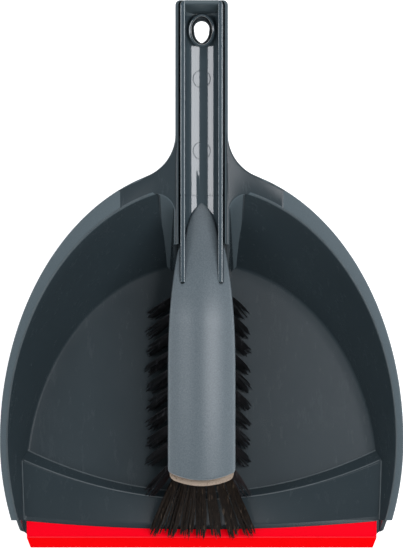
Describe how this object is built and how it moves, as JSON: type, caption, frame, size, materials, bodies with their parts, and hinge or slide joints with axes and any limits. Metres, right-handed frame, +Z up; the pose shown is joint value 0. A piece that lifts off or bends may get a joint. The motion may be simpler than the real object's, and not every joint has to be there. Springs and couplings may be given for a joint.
{
  "type": "dust pan and brush set",
  "caption": "Dust pan with a soft lip and a hand brush that nests in the pan's open channel handle, for sweeping up and hanging on a hook.",
  "frame": {"origin": "centre of the set's footprint, on the surface that the pan rests on", "axes": "+Z up, +Y from the lip towards the handles' end, +X to the right when looking along +Y"},
  "size_m": [0.242, 0.328, 0.0655],
  "materials": {
    "pan_plastic": "satin moulded plastic, anthracite",
    "lip_rubber": "smooth soft rubber, bright red",
    "handle_gloss": "polished moulded plastic, anthracite",
    "cover_plastic": "finely spark-eroded plastic, mid grey",
    "block_plastic": "foamed plastic, beige",
    "bristle": "dark brown to black fibre",
    "steel": "plain steel"
  },
  "bodies": {
    "pan": {"dust_pan": "pan_plastic", "lip_strip": "lip_rubber"},
    "brush": {"brush_handle": "handle_gloss", "head_cover": "cover_plastic", "bristle_block": "block_plastic", "block_screws": "steel", "tuft_anchors": "steel", "tufts_left_outer": "bristle", "tufts_left_inner": "bristle", "tufts_centre": "bristle", "tufts_right_inner": "bristle", "tufts_right_outer": "bristle", "tufts_front": "bristle"}
  },
  "joints": [
    {"name": "brush_lift", "type": "slide", "parent": "pan", "child": "brush", "axis": [0, 0, 1], "range_m": [0, 0.15]}
  ]
}
